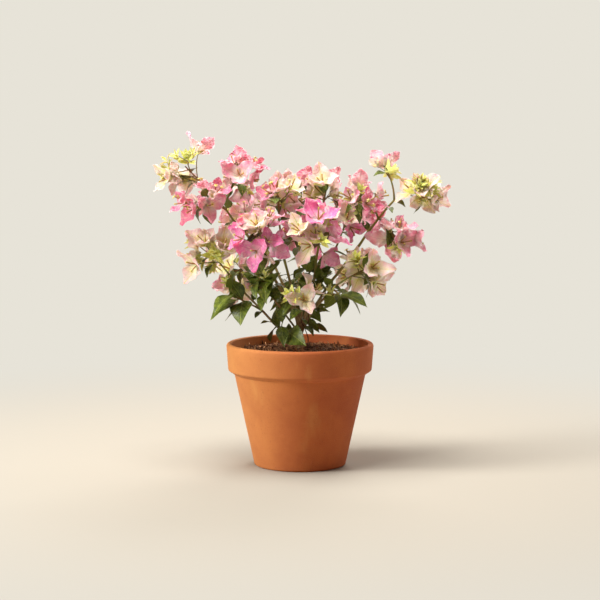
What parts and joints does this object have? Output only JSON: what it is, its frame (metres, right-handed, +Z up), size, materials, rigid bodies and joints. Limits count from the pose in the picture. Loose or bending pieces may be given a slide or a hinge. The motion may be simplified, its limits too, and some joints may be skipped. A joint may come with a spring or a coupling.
{
  "type": "potted bougainvillea bush",
  "caption": "Young flowering bougainvillea shrub with an open spreading crown of papery pink and cream bracts, growing in a tapered terracotta pot.",
  "frame": {"origin": "centre of the pot's flat underside, on the surface that the pot stands on", "axes": "+Z up, -Y towards the front of the plant, +X to its right as seen from the front"},
  "size_m": [0.4031, 0.2692, 0.4531],
  "materials": {
    "clay": "unglazed fired terracotta, matt, faintly mottled",
    "soil": "dark moist potting compost with bark crumbs",
    "bark": "brown to olive cane bark, slightly rough",
    "rose_spray": "deep rose papery bracts on green twigs, with dark green leaves",
    "pink_spray": "pink papery bracts on green twigs, with dark green leaves",
    "blush_spray": "pale blush papery bracts with lime throats and young leaves",
    "cream_spray": "cream papery bracts with pink tips and lime throats",
    "green_spray": "dark green ovate leaves on green twigs"
  },
  "bodies": {
    "root": {"pot": "clay", "soil": "soil", "trunk": "bark", "right_stem": "bark", "low_left_bough": "bark", "low_left_arm": "bark", "left_bough": "bark", "upper_left_bough": "bark", "centre_left_bough": "bark", "top_left_bough": "bark", "centre_bough": "bark", "right_bough": "bark", "right_arm": "bark", "low_right_bough": "bark", "front_bough": "bark", "back_left_bough": "bark", "back_right_bough": "bark", "back_bough": "bark", "top_back_bough": "bark", "left_tip_spray": "blush_spray", "left_mid_spray": "rose_spray", "left_upper_spray": "rose_spray", "left_low_spray": "cream_spray", "left_leaf_spray": "green_spray", "foot_leaf_spray": "green_spray", "middle_leaf_spray": "green_spray", "centre_left_spray": "rose_spray", "top_left_spray": "rose_spray", "top_right_spray": "pink_spray", "centre_front_spray": "rose_spray", "right_inner_spray": "pink_spray", "right_tip_spray": "blush_spray", "right_top_spray": "pink_spray", "right_mid_spray": "pink_spray", "right_low_spray": "cream_spray", "right_leaf_spray": "green_spray", "front_low_spray": "cream_spray", "heart_leaf_spray": "green_spray", "back_left_spray": "pink_spray", "back_right_spray": "rose_spray", "back_top_spray": "rose_spray", "back_mid_spray": "pink_spray", "back_low_left_spray": "blush_spray", "back_low_right_spray": "cream_spray", "back_leaf_spray": "green_spray"}
  },
  "joints": []
}
